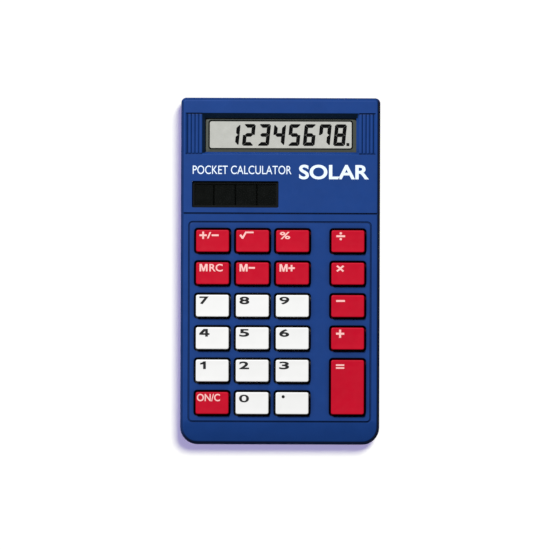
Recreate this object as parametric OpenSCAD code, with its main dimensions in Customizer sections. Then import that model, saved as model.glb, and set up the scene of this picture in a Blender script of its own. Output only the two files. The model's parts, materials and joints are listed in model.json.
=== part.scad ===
// Light-powered pocket calculator, lying on its back with the display end towards +Y.
// Millimetres, +Z up. The origin is the centre of the flat back.

/* [Casing] */
// Width of the casing, along X
case_w = 68; // [68:0.5:71]
// Length of the casing, along Y
case_l = 118.5; // [118.5:0.5:121.5]
// Height of the main face above the back
face_z = 8.6; // [8.5:0.05:8.8]
// Wall thickness of both shells
wall = 1.6; // [1.5:0.05:1.6]
// Thickness of the back's floor
floor_t = 1.3; // [1:0.1:1.3]
// Height of the line where the two shells meet
parting_z = 4.2; // [4:0.1:4.4]
// Radius of the two corners at the display end
corner_top = 1.7; // [1:0.1:2.5]
// Radius of the two corners at the keyboard end
corner_bottom = 5.8; // [4:0.1:6]
// How far the face falls between the keyboard field and the keyboard end
nose_drop = 2.2; // [1:0.1:2.4]

/* [Display] */
// Length of the sunken band that holds the display and the grips, along Y
band_l = 14.15; // [14:0.05:14.3]
// Width of the sunken band
band_w = 64.8; // [64:0.1:65]
// Depth of the band below the face
band_depth = 0.5; // [0.3:0.05:0.5]
// Width of the clear opening at the lens
opening_w = 51.7; // [50:0.1:52]
// Length of the clear opening at the lens
opening_l = 11.6; // [11:0.1:11.8]
// Width of the glass
glass_w = 52.4; // [51:0.1:52.4]
// Pitch of the grip grooves
reed_pitch = 1.27; // [1.1:0.01:1.27]
// Number of grip grooves on each side
reeds = 4; // [1:1:4]

/* [Solar panel] */
// Width of the solar window
solar_w = 29.5; // [26:0.5:29.5]
// Length of the solar window, along Y
solar_l = 9; // [8:0.1:9]
// Place of the window's centre along X
solar_x = -15.45; // [-15.6:0.05:-14]
// Place of the window's centre along Y
solar_y = 26.4; // [26:0.1:26.4]

/* [Keyboard] */
// Pitch of the first three columns
col_pitch = 13.65; // [13.5:0.05:13.8]
// Pitch of the rows
row_pitch = 11.07; // [11:0.01:11.1]
// Width of a key cap
cap_w = 11.3; // [10:0.1:11.4]
// Length of a key cap, along Y
cap_l = 7.55; // [6.5:0.05:7.6]
// Height of the key caps above the face
cap_rise = 1.5; // [1:0.1:1.8]
// Gap between a cap and its opening
cap_gap = 0.6; // [0.4:0.05:0.6]
// Travel of a key
travel = 0.8; // [0.5:0.1:0.8]

/* [Hidden] */
$fn = 48;
cut = 0.1;               // how far a cutter runs past the face that it opens
touch = 0.05;            // gap left between pieces that sit against each other

// Heights
face_in_z = face_z - wall;
shell_gap = 0.1;
board_z = 2.4;
board_t = 1;
board_top = board_z + board_t;
web_t = 0.7;
web_top = board_top + web_t;
dome_top = web_top + 1.4;
cap_top = face_z + cap_rise;
flange_t = 0.7;
flange_top = face_in_z - 0.1;
flange_z = flange_top - flange_t;

// Places along Y
band_y0 = 39.85;
band_y1 = band_y0 + band_l;
nose_y = -51.2;
field_top = 16.55;
field_w = 62.1;
cross_groove_y = 19.7;

// Key layout: one list of names for each row, from the display end
KEY_ROWS = [
    ["key_sign", "key_root", "key_percent", "key_divide"],
    ["key_mrc", "key_m_minus", "key_m_plus", "key_multiply"],
    ["key_7", "key_8", "key_9", "key_minus"],
    ["key_4", "key_5", "key_6", "key_plus"],
    ["key_1", "key_2", "key_3", "key_equals"],
    ["key_on_clear", "key_0", "key_decimal"],
];
KEYS = [for (r = [0:len(KEY_ROWS) - 1]) for (c = [0:len(KEY_ROWS[r]) - 1]) [KEY_ROWS[r][c], c, r]];
side_col_x = 23.1;
first_row_y = 10.25;
function is_tall(k) = k[0] == "key_equals";
function is_white(k) = k[1] < 3 && k[2] > 1 && k[0] != "key_on_clear";
function key_x(k) = k[1] == 3 ? side_col_x : -side_col_x + k[1] * col_pitch;
function key_y(k) = first_row_y - (k[2] + (is_tall(k) ? 0.5 : 0)) * row_pitch;
function key_l(k) = cap_l + (is_tall(k) ? row_pitch : 0);
cap_r = 0.7;
cap_wall = 1.2;
opening_r = 1.1;
flange_dx = 1.9;         // how much wider the flange is than the cap
flange_dy = 2.25;
plunger_r = 1.7;

// Gap in the keyboard between the third and fourth columns
aisle_x = (2 * col_pitch) / 2;

// Screw places
case_screws_at = [[-29.9, 55.3], [29.9, 55.3], [aisle_x, -17.5], [-27.5, -54.2], [27.5, -54.2]];
board_screws_at = [[-28.2, 18.4], [28.2, 18.4], [aisle_x, 4.7], [aisle_x, -40], [-14, -53], [14, -53]];
case_post_r = 2.2;
back_post_r = 3;
board_post_r = 1.7;
case_shank_r = 0.9;
board_shank_r = 0.75;
head_z = 0.25;
seat_z = 1.6;
back_post_top = 2.8;

// Display stack, from the lens down
lens_t = 1;
lens_z = face_in_z - lens_t;
film_t = 0.2;
glass_t = 0.7;
front_film_z = lens_z - 0.2 - film_t;
front_glass_z = front_film_z - glass_t;
rear_glass_z = front_glass_z - glass_t;
reflector_z = rear_glass_z - film_t;
view_y = 46.65;          // centre of the display's visible area
glass_y0 = 38.9;         // edge of the contact ledge
rear_glass_y0 = 41.3;
glass_y1 = 53;
frame_y0 = 37.9;
frame_y1 = 53.7;
frame_w = 54.8;
zebra_y = 40;
zebra_w = 50;
zebra_l = 1.6;

// Routes of the two leads, from under the solar cell to the board
lead_r = 0.45;
cell_z = face_in_z - 1.1;
RED_ROUTE = [[-28, 27.5, 5.4], [-28, 30, 5.4], [-27.6, 32.5, 5.2], [-26.8, 34.6, 4.8], [-26.6, 35.6, 4.2],
    [-26.6, 35.8, 3.45]];
BLACK_ROUTE = [[-3, 27.5, 5.4], [-3, 30, 5.4], [-3.4, 32.5, 5.2], [-4.2, 34.6, 4.8], [-4.4, 35.6, 4.2],
    [-4.4, 35.8, 3.45]];

BASE_NODES = ["front_housing", "rear_housing", "case_screws", "display_lens", "lcd_front_polarizer",
    "lcd_front_glass", "lcd_rear_glass", "lcd_reflector", "lcd_frame", "zebra_strip", "solar_window",
    "solar_cell", "solar_lead_red", "solar_lead_black", "circuit_board", "chip_cover",
    "storage_capacitor", "ceramic_capacitors", "clamp_diode", "board_screws", "key_mat",
    "contact_pills"];

// ---------- shared shapes ----------

// Outline of a rectangle with its own corner radius at each end
function outline(w, l, r_top, r_bottom, steps) = [
    for (corner = [[1, 1, 0], [-1, 1, 90], [-1, -1, 180], [1, -1, 270]])
        let (r = corner[1] > 0 ? r_top : r_bottom)
            for (i = [0:steps])
                let (a = corner[2] + 90 * i / steps)
                    [corner[0] * (w / 2 - r) + r * cos(a), corner[1] * (l / 2 - r) + r * sin(a)]
];

// Upright block with rounded corners, between two heights
module slab(w, l, z0, z1, r_top, r_bottom, steps = 4) {
    translate([0, 0, z0])
        linear_extrude(z1 - z0)
            polygon(outline(w, l, r_top, r_bottom, steps));
}

// Block of the casing's outline, drawn in from it by inset
module case_slab(inset, z0, z1) {
    slab(case_w - 2 * inset, case_l - 2 * inset, z0, z1,
        max(corner_top - inset, 0.4), max(corner_bottom - inset, 0.4), 10);
}

// Box given by its low and high corners
module span(low, high) {
    translate(low)
        cube(high - low);
}

// Prism along X with a profile in Y and Z
module side_prism(w, profile) {
    rotate([90, 0, 90])
        linear_extrude(w, center = true)
            polygon(profile);
}

// Upright cylinder between two heights
module rod(at, r, z0, z1) {
    translate([at[0], at[1], z0])
        cylinder(r = r, h = z1 - z0);
}

function unit(v) = v / norm(v);

// One point of the smooth curve between points b and c
function curve_point(a, b, c, d, t) =
    (2 * b + (c - a) * t + (2 * a - 5 * b + 4 * c - d) * t * t + (3 * b - a - 3 * c + d) * t * t * t) / 2;

// Smooth curve through a list of points
function smooth(p, steps) = [
    for (i = [0:len(p) - 2])
        let (a = p[max(i - 1, 0)], d = p[min(i + 2, len(p) - 1)])
            for (k = [0:steps - 1]) curve_point(a, p[i], p[i + 1], d, k / steps),
    p[len(p) - 1]
];

// Round tube along a route that nowhere runs along X
module tube(route, r, sides = 8) {
    path = smooth(route, 3);
    n = len(path);
    points = [
        for (i = [0:n - 1])
            let (t = unit(path[min(i + 1, n - 1)] - path[max(i - 1, 0)]),
                 u = unit(cross(t, [1, 0, 0])), v = cross(t, u))
                for (k = [0:sides - 1])
                    path[i] + r * (cos(360 * k / sides) * u + sin(360 * k / sides) * v)
    ];
    walls = [
        for (i = [0:n - 2]) for (k = [0:sides - 1])
            [i * sides + k, i * sides + (k + 1) % sides, (i + 1) * sides + (k + 1) % sides, (i + 1) * sides + k]
    ];
    start = [for (k = [sides - 1:-1:0]) k];
    end = [for (k = [0:sides - 1]) (n - 1) * sides + k];
    polyhedron(points = points, faces = concat(walls, [start, end]), convexity = 4);
}

// ---------- casing ----------

// Side profile of the front shell, drawn in from the face by inset
function front_profile(inset, low) = [
    [-case_l / 2, low], [case_l / 2, low], [case_l / 2, face_z - inset], [nose_y, face_z - inset],
    [-case_l / 2, face_z - nose_drop - inset]
];

module key_openings() {
    for (k = KEYS)
        translate([key_x(k), key_y(k), 0])
            slab(cap_w + 2 * cap_gap, key_l(k) + 2 * cap_gap, face_in_z - 2, face_z + cut, opening_r, opening_r);
}

// Bars under the face that keep the rows of keys apart
module guide_ribs() {
    rib_t = 0.8;
    rib_end = field_w / 2;
    for (r = [0:4]) {
        y = first_row_y - (r + 0.5) * row_pitch;
        right = r == 4 ? aisle_x + case_post_r : rib_end;
        span([-rib_end, y - rib_t / 2, web_top + 0.2], [right, y + rib_t / 2, face_in_z + cut]);
    }
}

// Opening over the display, with sloping walls
module display_opening() {
    side_slope = 1;
    z1 = face_z - band_depth;
    y0 = view_y - opening_l / 2 - 0.15;
    y1 = y0 + opening_l;
    half = opening_w / 2;
    intersection() {
        side_prism(case_w, [[y0, face_in_z - cut], [y1, face_in_z - cut], [y1, face_in_z], [band_y1, face_z],
            [band_y1, face_z + cut], [band_y0, face_z + cut], [band_y0, face_z], [y0, face_in_z]]);
        translate([0, band_y0 - 1, 0])
            rotate([90, 0, 180])
                linear_extrude(band_l + 2)
                    polygon([[-half, face_in_z - cut], [half, face_in_z - cut], [half, face_in_z],
                        [half + side_slope, z1], [half + side_slope, face_z + cut],
                        [-half - side_slope, face_z + cut], [-half - side_slope, z1], [-half, face_in_z]]);
    }
}

// Grooves of the two grips
module grip_grooves() {
    groove_w = 0.7;
    groove_depth = 0.35;
    first_x = 27.95;
    z1 = face_z - band_depth;
    for (side = [-1, 1], i = [0:reeds - 1])
        translate([side * (first_x + i * reed_pitch), band_y1, 0])
            rotate([90, 0, 0])
                linear_extrude(band_l)
                    polygon([[-groove_w / 2, z1 + cut], [-groove_w / 2, z1], [0, z1 - groove_depth],
                        [groove_w / 2, z1], [groove_w / 2, z1 + cut]]);
}

// Thin grooves in the face: one across it and one round the keyboard field
module face_grooves() {
    groove_w = 0.5;
    groove_depth = 0.3;
    field_l = field_top - nose_y;
    span([-case_w, cross_groove_y - groove_w / 2, face_z - groove_depth],
        [case_w, cross_groove_y + groove_w / 2, face_z + cut]);
    translate([0, (field_top + nose_y) / 2, 0])
        difference() {
            slab(field_w, field_l, face_z - groove_depth, face_z + cut, 1.2, 1.2);
            slab(field_w - 2 * groove_w, field_l - 2 * groove_w, 0, face_z + 1, 0.7, 0.7);
        }
}

module front_housing() {
    lip_h = 1;
    lip_inset = 0.75;
    window_lip = 0.7;
    color("royalblue")
        difference() {
            union() {
                intersection() {
                    difference() {
                        case_slab(0, parting_z + shell_gap, face_z);
                        difference() {
                            case_slab(wall, 0, face_in_z);
                            side_prism(case_w, [[-case_l, face_z], [-case_l / 2, face_in_z - nose_drop],
                                [nose_y, face_in_z], [nose_y, face_z]]);
                        }
                        case_slab(lip_inset, 0, parting_z + shell_gap + lip_h);
                    }
                    side_prism(case_w, front_profile(0, 0));
                }
                intersection() {
                    union() {
                        for (p = case_screws_at) rod(p, case_post_r, back_post_top + 0.1, face_z);
                        for (p = board_screws_at) rod(p, board_post_r, board_top, face_z);
                    }
                    case_slab(wall - touch, 0, face_z);
                    side_prism(case_w, front_profile(0.5, 0));
                }
                guide_ribs();
            }
            key_openings();
            span([-band_w / 2, band_y0, face_z - band_depth], [band_w / 2, band_y1, face_z + cut]);
            display_opening();
            grip_grooves();
            face_grooves();
            translate([solar_x, solar_y, 0]) {
                slab(solar_w, solar_l, face_z - 0.9, face_z + cut, 0.4, 0.4);
                slab(solar_w - 2 * window_lip, solar_l - 2 * window_lip, face_in_z - cut, face_z, 0.4, 0.4);
            }
            for (p = case_screws_at) rod(p, case_shank_r + touch, 0, face_in_z - 0.1);
            for (p = board_screws_at) rod(p, board_shank_r + touch, 0, face_in_z - 0.5);
        }
}

module rear_housing() {
    lip_h = 0.9;
    lip_inset = 0.85;
    rib_t = 0.8;
    rib_x = 20;
    label_depth = 0.25;
    color("royalblue")
        difference() {
            union() {
                difference() {
                    union() {
                        case_slab(0, 0, parting_z);
                        case_slab(lip_inset, 0, parting_z + lip_h);
                    }
                    case_slab(wall, floor_t, parting_z + 2);
                }
                intersection() {
                    for (p = case_screws_at) rod(p, back_post_r, 0, back_post_top);
                    case_slab(wall - touch, 0, face_z);
                }
                for (x = [-rib_x, 0, rib_x])
                    span([x - rib_t / 2, -50, floor_t - cut], [x + rib_t / 2, 50, board_z - 0.1]);
            }
            for (p = case_screws_at) {
                rod(p, 2.2, -cut, seat_z);
                rod(p, 1.2, -cut, back_post_top + cut);
            }
            translate([0, 18, 0])
                slab(42, 26, -cut, label_depth, 1.5, 1.5);
        }
}

// Self-tapping screw with a cross recess, head down
module screw(at, head_r, shank_r, z0, z1, z2) {
    slot_w = head_r * 0.3;
    slot_l = head_r * 1.1;
    slot_depth = (z1 - z0) * 0.5;
    difference() {
        union() {
            rod(at, head_r, z0, z1);
            rod(at, shank_r, z1 - cut, z2 - shank_r);
            translate([at[0], at[1], z2 - shank_r])
                cylinder(r1 = shank_r, r2 = shank_r * 0.3, h = shank_r);
        }
        for (turn = [0, 90])
            translate([at[0], at[1], z0])
                rotate(turn)
                    cube([slot_l, slot_w, slot_depth * 2], center = true);
    }
}

module case_screws() {
    color("silver")
        for (p = case_screws_at) screw(p, 1.95, case_shank_r, head_z, seat_z, face_in_z - 0.4);
}

// ---------- display ----------

module display_lens() {
    color("darkslategray")
        translate([0, view_y - 0.3, 0])
            slab(54.2, 14.2, lens_z, face_in_z, 0.8, 0.8);
}

module display_film(z) {
    film_y0 = rear_glass_y0 + 0.2;
    span([-glass_w / 2 + 0.8, film_y0, z], [glass_w / 2 - 0.8, glass_y1 - 0.6, z + film_t]);
}

module lcd_front_polarizer() {
    color("lightgray")
        display_film(front_film_z);
}

module lcd_front_glass() {
    color("silver")
        span([-glass_w / 2, glass_y0, front_glass_z], [glass_w / 2, glass_y1, front_film_z]);
}

module lcd_rear_glass() {
    color("silver")
        span([-glass_w / 2, rear_glass_y0, rear_glass_z], [glass_w / 2, glass_y1, front_glass_z]);
}

module lcd_reflector() {
    color("gainsboro")
        display_film(reflector_z);
}

module lcd_frame() {
    fit = 0.12;
    ledge = 1.7;
    half = glass_w / 2 + fit;
    color("black")
        difference() {
            span([-frame_w / 2, frame_y0, board_top], [frame_w / 2, frame_y1, front_film_z + film_t]);
            span([-half, glass_y0 - fit, front_glass_z], [half, glass_y1 + fit, face_z]);
            span([-half, rear_glass_y0 - fit, reflector_z], [half, glass_y1 + fit, face_z]);
            span([-half + ledge, rear_glass_y0 + ledge, 0], [half - ledge, glass_y1 - ledge, face_z]);
            span([-zebra_w / 2 - fit, zebra_y - zebra_l / 2 - fit, 0],
                [zebra_w / 2 + fit, zebra_y + zebra_l / 2 + fit, face_z]);
        }
}

module zebra_strip() {
    color("dimgray")
        span([-zebra_w / 2, zebra_y - zebra_l / 2, board_top],
            [zebra_w / 2, zebra_y + zebra_l / 2, front_glass_z]);
}

// ---------- power ----------

module solar_window() {
    color("darkslategray")
        translate([solar_x, solar_y, 0])
            slab(solar_w - 2 * touch, solar_l - 2 * touch, face_z - 0.9, face_z - 0.15, 0.4, 0.4);
}

module solar_cell() {
    margin = 0.7;
    color("black")
        translate([solar_x, solar_y, 0])
            slab(solar_w + 2 * margin, solar_l + 2 * margin, cell_z, face_in_z, 0.3, 0.3);
}

module solar_lead_red() {
    color("red")
        tube(RED_ROUTE, lead_r);
}

module solar_lead_black() {
    color("black")
        tube(BLACK_ROUTE, lead_r);
}

// ---------- board ----------

module circuit_board() {
    side = 30.6;
    neck = 26.6;
    tab = 23.6;
    board_y1 = 54;
    board_y0 = nose_y - 4;
    key_end_y = nose_y + 0.4;
    color("saddlebrown")
        difference() {
            translate([0, 0, board_z])
                linear_extrude(board_t)
                    polygon([[-neck, board_y1], [-neck, 51], [-side, 47], [-side, key_end_y], [-tab, key_end_y],
                        [-tab, board_y0], [tab, board_y0], [tab, key_end_y], [side, key_end_y], [side, 47],
                        [neck, 51], [neck, board_y1]]);
            rod([aisle_x, case_screws_at[2][1]], back_post_r + 0.4, 0, face_z);
            for (p = board_screws_at) rod(p, board_shank_r + 0.2, 0, face_z);
        }
}

module chip_cover() {
    blob_r = 4.6;
    blob_h = 1.6;
    ball_r = (blob_r * blob_r + blob_h * blob_h) / (2 * blob_h);
    color("black")
        translate([16, 27, board_top + blob_h - ball_r])
            difference() {
                sphere(r = ball_r);
                span(-2 * [ball_r, ball_r, ball_r], [2 * ball_r, 2 * ball_r, ball_r - blob_h]);
            }
}

// Lead of a lying component: along X from its end, then down to the board
module bent_lead(x0, x1, y, z) {
    lead = 0.25;
    translate([x0, y, z])
        rotate([0, x1 > x0 ? 90 : -90, 0])
            cylinder(r = lead, h = abs(x1 - x0));
    rod([x1, y], lead, board_top + touch, z + lead);
}

module storage_capacitor() {
    can_r = 1.6;
    can_l = 6.5;
    x0 = 5;
    y = 35;
    z = board_top + can_r + touch;
    color("midnightblue") {
        translate([x0, y, z])
            rotate([0, 90, 0])
                cylinder(r = can_r, h = can_l);
        for (dy = [-0.7, 0.7]) bent_lead(x0 + 0.2, x0 - 1.4, y + dy, z);
    }
}

module ceramic_capacitors() {
    color("tan")
        for (y = [30.5, 35])
            span([23, y - 0.65, board_top], [25.2, y + 0.65, board_top + 1]);
}

module clamp_diode() {
    body_r = 0.9;
    body_l = 3.8;
    x0 = -17;
    y = 35;
    z = board_top + body_r + touch;
    color("orangered") {
        translate([x0, y, z])
            rotate([0, 90, 0])
                cylinder(r = body_r, h = body_l);
        bent_lead(x0 + 0.2, x0 - 1.6, y, z);
        bent_lead(x0 + body_l - 0.2, x0 + body_l + 1.6, y, z);
    }
}

module board_screws() {
    color("silver")
        for (p = board_screws_at) screw(p, 1.5, board_shank_r, board_z - 0.75, board_z, face_in_z - 0.8);
}

// ---------- keyboard ----------

// Collapsing dome, as a solid of revolution from the web upwards
module dome_outside() {
    rotate_extrude()
        polygon([[0, board_top], [3.2, board_top], [3.2, web_top], [2.1, dome_top - 0.5], [2.1, dome_top],
            [0, dome_top]]);
}

module dome_inside() {
    rotate_extrude()
        polygon([[0, board_top - 1], [2.75, board_top - 1], [2.75, web_top - 0.3], [1.75, dome_top - travel],
            [0, dome_top - travel]]);
}

module key_mat() {
    field_l = field_top - nose_y;
    color("lightgray")
        difference() {
            union() {
                translate([0, (field_top + nose_y) / 2, 0])
                    slab(field_w - 1.2, field_l - 1.4, board_top, web_top, 1, 1);
                for (k = KEYS) translate([key_x(k), key_y(k), 0]) dome_outside();
            }
            for (k = KEYS) translate([key_x(k), key_y(k), 0]) dome_inside();
            rod(case_screws_at[2], back_post_r + 0.4, 0, face_z);
            for (p = [board_screws_at[2], board_screws_at[3]]) rod(p, board_post_r + 0.3, 0, face_z);
        }
}

module contact_pills() {
    pill_t = 0.5;
    color("black")
        for (k = KEYS) rod([key_x(k), key_y(k)], 1.5, dome_top - travel - pill_t, dome_top - travel);
}

// Cap of one key: a hollow block with a flange that holds it in and a plunger for its dome
module key_cap(k) {
    roof_t = 1.2;
    l = key_l(k);
    color(is_white(k) ? "white" : "crimson")
        translate([key_x(k), key_y(k), 0]) {
            difference() {
                union() {
                    slab(cap_w, l, flange_z, cap_top, cap_r, cap_r);
                    slab(cap_w + flange_dx, l + flange_dy, flange_z, flange_top, cap_r, cap_r);
                }
                slab(cap_w - 2 * cap_wall, l - 2 * cap_wall, 0, cap_top - roof_t, 0.4, 0.4);
            }
            rod([0, 0], plunger_r, dome_top + 0.1, cap_top - roof_t / 2);
        }
}

front_housing();
rear_housing();
case_screws();
display_lens();
lcd_front_polarizer();
lcd_front_glass();
lcd_rear_glass();
lcd_reflector();
lcd_frame();
zebra_strip();
solar_window();
solar_cell();
solar_lead_red();
solar_lead_black();
circuit_board();
chip_cover();
storage_capacitor();
ceramic_capacitors();
clamp_diode();
board_screws();
key_mat();
contact_pills();
for (k = KEYS) key_cap(k);
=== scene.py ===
"""Looks of the pocket calculator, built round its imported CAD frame. Lengths here are in millimetres."""

import json
import math

import bmesh
import bpy
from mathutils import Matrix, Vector
from mathutils.geometry import delaunay_2d_cdt


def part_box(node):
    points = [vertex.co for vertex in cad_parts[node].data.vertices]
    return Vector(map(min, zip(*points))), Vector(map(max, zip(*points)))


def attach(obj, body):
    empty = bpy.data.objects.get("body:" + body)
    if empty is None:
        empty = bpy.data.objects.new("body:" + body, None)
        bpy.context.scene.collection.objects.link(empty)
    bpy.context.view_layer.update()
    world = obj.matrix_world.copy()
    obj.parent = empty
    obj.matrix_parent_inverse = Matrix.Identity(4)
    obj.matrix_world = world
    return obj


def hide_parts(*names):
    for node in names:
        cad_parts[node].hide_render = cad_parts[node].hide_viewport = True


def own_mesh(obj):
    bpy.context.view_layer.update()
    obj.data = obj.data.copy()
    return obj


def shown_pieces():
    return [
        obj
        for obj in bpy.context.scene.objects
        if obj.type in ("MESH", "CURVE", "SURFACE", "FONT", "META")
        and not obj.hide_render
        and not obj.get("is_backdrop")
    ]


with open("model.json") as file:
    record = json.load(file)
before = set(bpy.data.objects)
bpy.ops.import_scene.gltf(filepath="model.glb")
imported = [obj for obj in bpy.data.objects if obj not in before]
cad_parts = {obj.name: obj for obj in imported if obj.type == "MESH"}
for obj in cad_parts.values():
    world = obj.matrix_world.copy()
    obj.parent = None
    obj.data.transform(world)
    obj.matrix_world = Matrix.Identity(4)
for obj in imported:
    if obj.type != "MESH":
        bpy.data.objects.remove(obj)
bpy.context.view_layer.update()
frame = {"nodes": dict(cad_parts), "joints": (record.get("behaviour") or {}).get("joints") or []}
MM = 0.001


def cad(node):
    """Low and high corners of a CAD node, in millimetres."""
    low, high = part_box(node)
    return low / MM, high / MM


# ---------- dimensions, from the frame where it has them ----------

FRONT_HIGH = cad("front_housing")[1]
HALF_W, HALF_L = FRONT_HIGH.x, FRONT_HIGH.y
FACE_Z = FRONT_HIGH.z
WALL = 1.6
ROOF_Z = FACE_Z - WALL
PARTING_Z = 4.2
SHELL_GAP = 0.1
FLOOR_TOP = 1.3
POST_TOP = 2.8
LIP_H = 0.9
CORNER_TOP = 1.7
CORNER_BOTTOM = 5.8
NOSE_Y = -51.2
NOSE_DROP = 2.2
CROSS_GROOVE_Y = 19.7
FIELD_HALF_W = 31.05
FIELD_TOP = 16.55

BAND_HALF_W = 32.4
BAND_Y0, BAND_Y1 = 39.85, 54.0
BAND_DEPTH = 0.5
RECESS_HALF_W = 26.85
OPENING_HALF_W = 25.85
OPENING_Y0, OPENING_Y1 = 40.7, 52.3

KEY_TRAVEL = frame["joints"][0]["range_m"][1] / MM
FLANGE_DX, FLANGE_DY = 1.9, 2.25
CAP_R = 0.7
OPENING_R = 1.1
CAP_GAP = 0.6
KEYS = [n for n in frame["nodes"] if n.startswith("key_") and n != "key_mat"]
WHITE_KEYS = [f"key_{d}" for d in range(10)] + ["key_decimal"]

AISLE_X = 13.65
CASE_SCREWS = [(-29.9, 55.3), (29.9, 55.3), (AISLE_X, -17.5), (-27.5, -54.2), (27.5, -54.2)]
BOARD_SCREWS = [(-28.2, 18.4), (28.2, 18.4), (AISLE_X, 4.7), (AISLE_X, -40), (-14, -53), (14, -53)]

MAT_LOW, MAT_HIGH = cad("key_mat")
WEB_TOP = MAT_LOW.z + 0.7
LENS_LOW, LENS_HIGH = cad("display_lens")
FILM_TOP = cad("lcd_front_polarizer")[1].z
WINDOW_LOW, WINDOW_HIGH = cad("solar_window")
WINDOW_DROP = Vector((0, 0.22, 0))
WINDOW_LOW -= WINDOW_DROP
WINDOW_HIGH -= WINDOW_DROP


def spread(low, high):
    """Centre x and y, half width and half length between two corners."""
    return (low[0] + high[0]) / 2, (low[1] + high[1]) / 2, (high[0] - low[0]) / 2, (high[1] - low[1]) / 2


def key_place(node):
    """Centre x and y of a key and its cap's half width and half length."""
    x, y, hw, hl = spread(*cad(node))
    return x, y, hw - FLANGE_DX / 2, hl - FLANGE_DY / 2


# ---------- materials ----------


def linear(r, g, b):
    """Linear colour of an sRGB colour with channels from 0 to 255."""
    def channel(c):
        c /= 255
        return c / 12.92 if c <= 0.04045 else ((c + 0.055) / 1.055) ** 2.4
    return (channel(r), channel(g), channel(b), 1.0)


class Shade:
    """Node material: a Principled shader with mottled colour, uneven roughness and fine bump."""

    def __init__(self, name, colour, roughness, specular=0.5, **sockets):
        self.material = bpy.data.materials.new(name)
        self.material.use_nodes = True
        self.tree = self.material.node_tree
        self.shader = self.tree.nodes["Principled BSDF"]
        self.colour = colour
        self.feed(self.shader, {"Base Color": colour, "Roughness": roughness})
        self.feed(self.shader, {"Specular IOR Level": specular})
        self.feed(self.shader, {socket.replace("_", " "): value for socket, value in sockets.items()})
        self.place = self.node("ShaderNodeTexCoord").outputs["Object"]
        self.height = None

    def feed(self, node, inputs):
        """Gives inputs of a node their values, or the outputs of other nodes."""
        for name, value in inputs.items():
            if isinstance(value, bpy.types.NodeSocket):
                self.tree.links.new(value, node.inputs[name])
            else:
                node.inputs[name].default_value = value

    def node(self, kind, inputs=None, **settings):
        """New node with some inputs and settings."""
        made = self.tree.nodes.new(kind)
        for name, value in settings.items():
            setattr(made, name, value)
        self.feed(made, inputs or {})
        return made

    def noise(self, size, detail=3.0, stretch=(1, 1, 1)):
        """Noise output with features of about size millimetres."""
        source = self.place
        if stretch != (1, 1, 1):
            mapping = self.node("ShaderNodeMapping", {"Scale": stretch, "Vector": self.place})
            source = mapping.outputs["Vector"]
        inputs = {"Scale": 1 / (size * MM), "Detail": detail, "Vector": source}
        return self.node("ShaderNodeTexNoise", inputs).outputs["Fac"]

    def ramp(self, source, low, high, start=0.3, end=0.7):
        """Source from start to end spread between two values."""
        inputs = {"From Min": start, "From Max": end, "To Min": low, "To Max": high, "Value": source}
        return self.node("ShaderNodeMapRange", inputs).outputs["Result"]

    def mottle(self, size, amount, stretch=(1, 1, 1)):
        """Colour varied by a share of itself, over patches of a size."""
        dark = tuple(c * (1 - amount) for c in self.colour[:3]) + (1.0,)
        light = tuple(min(1.0, c * (1 + amount)) for c in self.colour[:3]) + (1.0,)
        mix = self.node("ShaderNodeMix", {"A": dark, "B": light}, data_type="RGBA")
        self.feed(mix, {"Factor": self.ramp(self.noise(size, stretch=stretch), 0.0, 1.0)})
        self.feed(self.shader, {"Base Color": mix.outputs["Result"]})
        return self

    def crevice_shade(self, reach, dark, closed=0.3):
        """Painted shade: colour darkened to a share of itself deep in gaps and corners, as far as reach
        millimetres out.
        """
        near = self.node("ShaderNodeAmbientOcclusion", {"Distance": reach * MM}, samples=8)
        share = self.ramp(near.outputs["AO"], dark, 1.0, closed, 0.95)
        before = self.shader.inputs["Base Color"].links[0].from_socket
        mix = self.node("ShaderNodeMix", {"Factor": 1.0, "A": before, "B": share},
            data_type="RGBA", blend_type="MULTIPLY")
        self.feed(self.shader, {"Base Color": mix.outputs["Result"]})
        return self

    def uneven(self, size, low, high):
        """Roughness between two values, over patches of a size."""
        self.feed(self.shader, {"Roughness": self.ramp(self.noise(size), low, high)})
        return self

    def grain(self, size, depth, detail=2.0):
        """Bump of a size and depth in millimetres, over the bumps that are there already."""
        bump = self.node("ShaderNodeBump", {"Distance": depth * MM, "Strength": 1.0})
        self.feed(bump, {"Height": self.noise(size, detail)})
        if self.height:
            self.feed(bump, {"Normal": self.height})
        self.height = bump.outputs["Normal"]
        self.feed(self.shader, {"Normal": self.height})
        return self


def surface(name, colour, roughness, mottle, uneven, grain, **sockets):
    """Material made with these arguments of mottle, uneven and grain."""
    return Shade(name, colour, roughness, **sockets).mottle(*mottle).uneven(*uneven).grain(*grain).material


def plastic(name, colour, roughness, grain_depth, mottled=0.04, gap_shade=None, **sockets):
    """Moulded plastic, with painted shade darkening its gaps if gap_shade holds the arguments for that."""
    shade = Shade(name, colour, roughness, **sockets)
    shade.mottle(6.0, mottled).uneven(2.5, roughness - 0.05, roughness + 0.06)
    if gap_shade:
        shade.crevice_shade(*gap_shade)
    shade.grain(0.22, grain_depth).grain(5.0, grain_depth * 1.5, detail=1.0)
    return shade.material


def see_through(name, colour, alpha, roughness=0.04):
    """Clear plastic or glass, of which only a share alpha shows."""
    shade = Shade(name, colour, roughness, Alpha=alpha, IOR=1.49)
    shade.uneven(8.0, roughness, roughness + 0.03).grain(9.0, 0.004, detail=1.0)
    return shade.material


def printed(name, colour, roughness=0.5, specular=0.3):
    """Printing ink, also used as flat paint for painted shade."""
    shade = Shade(name, colour, roughness, specular)
    shade.mottle(0.8, 0.05).uneven(1.0, roughness - 0.08, roughness + 0.1).grain(0.15, 0.004)
    return shade.material


# The case and key plastics get painted shade in their gaps and corners through gap_shade.
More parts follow.
